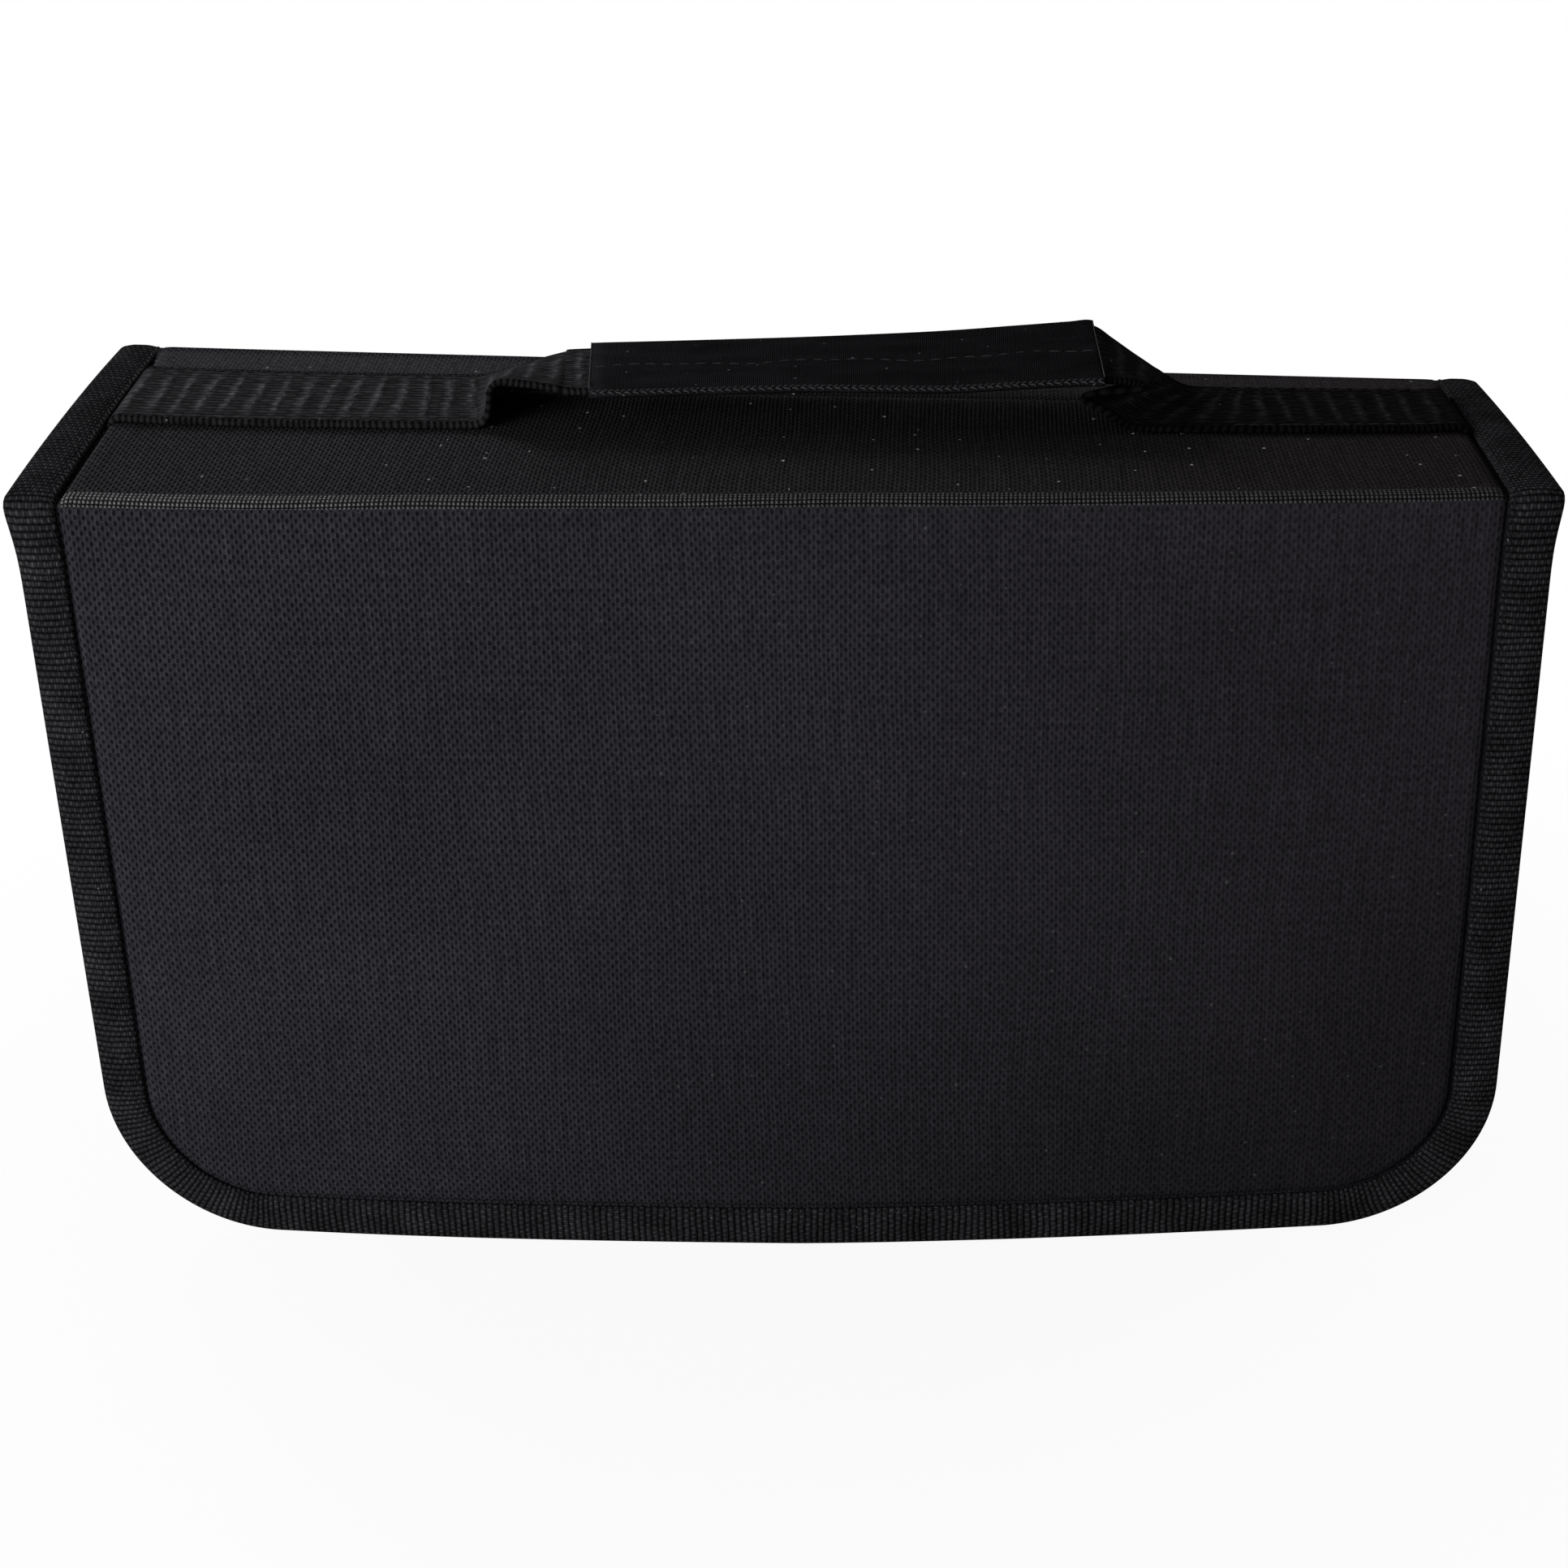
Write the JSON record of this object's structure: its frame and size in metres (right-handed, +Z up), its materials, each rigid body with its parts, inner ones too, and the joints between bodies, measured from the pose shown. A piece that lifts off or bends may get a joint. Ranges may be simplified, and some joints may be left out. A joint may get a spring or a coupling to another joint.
{
  "type": "cd storage case",
  "caption": "Zip-round fabric storage case for compact discs, with padded covers, bound edges and a webbing handle along its spine.",
  "frame": {"origin": "bottom centre of the closed case, on the surface that it stands on", "axes": "+X along the spine, +Y from the front cover to the back cover, +Z up through the spine"},
  "size_m": [0.305, 0.088, 0.1919],
  "materials": {
    "black_cloth": "matt plain-weave nylon",
    "binding_tape": "cross-ribbed woven tape",
    "webbing": "ribbed nylon webbing",
    "board": "plain pressed board",
    "lining": "smooth lining cloth",
    "zip_tape": "herringbone zip tape",
    "zip_coil": "satin nylon",
    "zip_metal": "black-plated metal",
    "pages": "soft sleeves"
  },
  "bodies": {
    "spine": {"spine_fabric": "black_cloth", "spine_board": "board", "spine_lining": "lining", "spine_binding_left": "binding_tape", "spine_binding_right": "binding_tape", "handle_strap": "webbing", "handle_grip": "black_cloth", "page_strip": "lining", "disc_pages": "pages"},
    "front_cover": {"front_cover_fabric": "black_cloth", "front_cover_board": "board", "front_cover_lining": "lining", "front_cover_binding": "binding_tape", "front_cover_gusset": "black_cloth", "front_cover_zip_tape": "zip_tape", "front_cover_zip_coil": "zip_coil", "front_cover_zip_stop_left": "zip_coil", "front_cover_zip_stop_right": "zip_coil"},
    "back_cover": {"back_cover_fabric": "black_cloth", "back_cover_board": "board", "back_cover_lining": "lining", "back_cover_binding": "binding_tape", "back_cover_gusset": "black_cloth", "back_cover_zip_tape": "zip_tape", "back_cover_zip_coil": "zip_coil", "back_cover_zip_stop_left": "zip_coil", "back_cover_zip_stop_right": "zip_coil"},
    "zip_slider": {"zip_slider": "zip_metal"},
    "zip_pull": {"zip_pull": "zip_metal"}
  },
  "joints": [
    {"name": "front_hinge", "type": "hinge", "parent": "spine", "child": "front_cover", "pos_m": [0, -0.04336, 0.17436], "axis": [-1, 0, 0], "range_deg": [0, 90]},
    {"name": "back_hinge", "type": "hinge", "parent": "spine", "child": "back_cover", "pos_m": [0, 0.04336, 0.17436], "axis": [1, 0, 0], "range_deg": [0, 90]},
    {"name": "zip_slide", "type": "slide", "parent": "back_cover", "child": "zip_slider", "axis": [0, 0, -1], "range_m": [0, 0.1]},
    {"name": "pull_hinge", "type": "hinge", "parent": "zip_slider", "child": "zip_pull", "pos_m": [0.14645, 0, 0.152], "axis": [0, -1, 0], "range_deg": [0, 150]}
  ]
}
